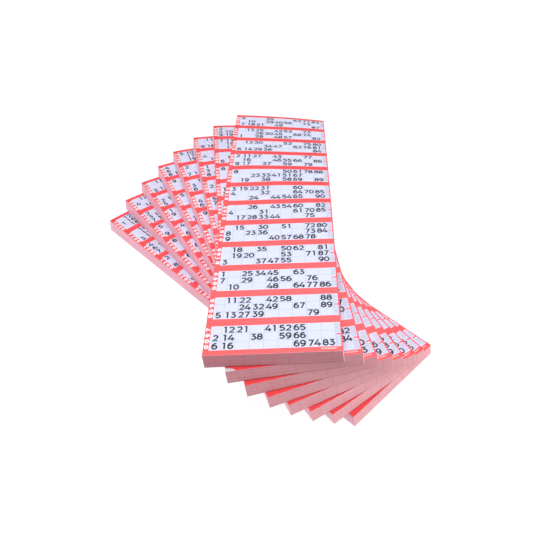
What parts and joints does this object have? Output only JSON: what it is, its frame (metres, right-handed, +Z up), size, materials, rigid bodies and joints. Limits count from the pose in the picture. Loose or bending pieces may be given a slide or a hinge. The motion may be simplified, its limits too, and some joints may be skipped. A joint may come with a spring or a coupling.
{
  "type": "pile of bingo strip pads",
  "caption": "Fanned pile of glued paper pads of red bingo strips, each strip a column of numbered tickets, that lift off pad by pad and turn up leaf by leaf.",
  "frame": {"origin": "where the fan's upright axis meets the underside of the lowest pad", "axes": "+Z up through the pile, +Y along the top pad's strip towards its first ticket, +X towards its right edge"},
  "size_m": [0.375, 0.4379, 0.1067],
  "materials": {
    "cut_sheets": "cut paper edges tinted by the print",
    "padding_glue": "satin film of padding glue",
    "white_paper": "uncoated white paper",
    "red_ink": "matt red print on paper"
  },
  "bodies": {
    "pad_1": {"pad_1_sheets": "cut_sheets", "pad_1_glue_edge": "padding_glue", "pad_1_top_strip": "white_paper", "pad_1_red_print": "red_ink"},
    "pad_2": {"pad_2_sheets": "cut_sheets", "pad_2_glue_edge": "padding_glue", "pad_2_top_strip": "white_paper", "pad_2_red_print": "red_ink"},
    "pad_3": {"pad_3_sheets": "cut_sheets", "pad_3_glue_edge": "padding_glue", "pad_3_top_strip": "white_paper", "pad_3_red_print": "red_ink"},
    "pad_4": {"pad_4_sheets": "cut_sheets", "pad_4_glue_edge": "padding_glue", "pad_4_top_strip": "white_paper", "pad_4_red_print": "red_ink"},
    "pad_5": {"pad_5_sheets": "cut_sheets", "pad_5_glue_edge": "padding_glue", "pad_5_top_strip": "white_paper", "pad_5_red_print": "red_ink"},
    "pad_6": {"pad_6_sheets": "cut_sheets", "pad_6_glue_edge": "padding_glue", "pad_6_top_strip": "white_paper", "pad_6_red_print": "red_ink"},
    "pad_7": {"pad_7_sheets": "cut_sheets", "pad_7_glue_edge": "padding_glue", "pad_7_top_strip": "white_paper", "pad_7_red_print": "red_ink"},
    "pad_8": {"pad_8_sheets": "cut_sheets", "pad_8_glue_edge": "padding_glue"},
    "top_leaf": {"pad_8_top_strip": "white_paper", "pad_8_red_print": "red_ink"}
  },
  "joints": [
    {"name": "pad_2_lift", "type": "slide", "parent": "pad_1", "child": "pad_2", "axis": [0, 0, 1], "range_m": [0, 0.05]},
    {"name": "pad_3_lift", "type": "slide", "parent": "pad_2", "child": "pad_3", "axis": [0, 0, 1], "range_m": [0, 0.05]},
    {"name": "pad_4_lift", "type": "slide", "parent": "pad_3", "child": "pad_4", "axis": [0, 0, 1], "range_m": [0, 0.05]},
    {"name": "pad_5_lift", "type": "slide", "parent": "pad_4", "child": "pad_5", "axis": [0, 0, 1], "range_m": [0, 0.05]},
    {"name": "pad_6_lift", "type": "slide", "parent": "pad_5", "child": "pad_6", "axis": [0, 0, 1], "range_m": [0, 0.05]},
    {"name": "pad_7_lift", "type": "slide", "parent": "pad_6", "child": "pad_7", "axis": [0, 0, 1], "range_m": [0, 0.05]},
    {"name": "pad_8_lift", "type": "slide", "parent": "pad_7", "child": "pad_8", "axis": [0, 0, 1], "range_m": [0, 0.05]},
    {"name": "top_leaf_turn", "type": "hinge", "parent": "pad_8", "child": "top_leaf", "pos_m": [-0.057, 0, 0.10665], "axis": [0, -1, 0], "range_deg": [0, 165]}
  ]
}
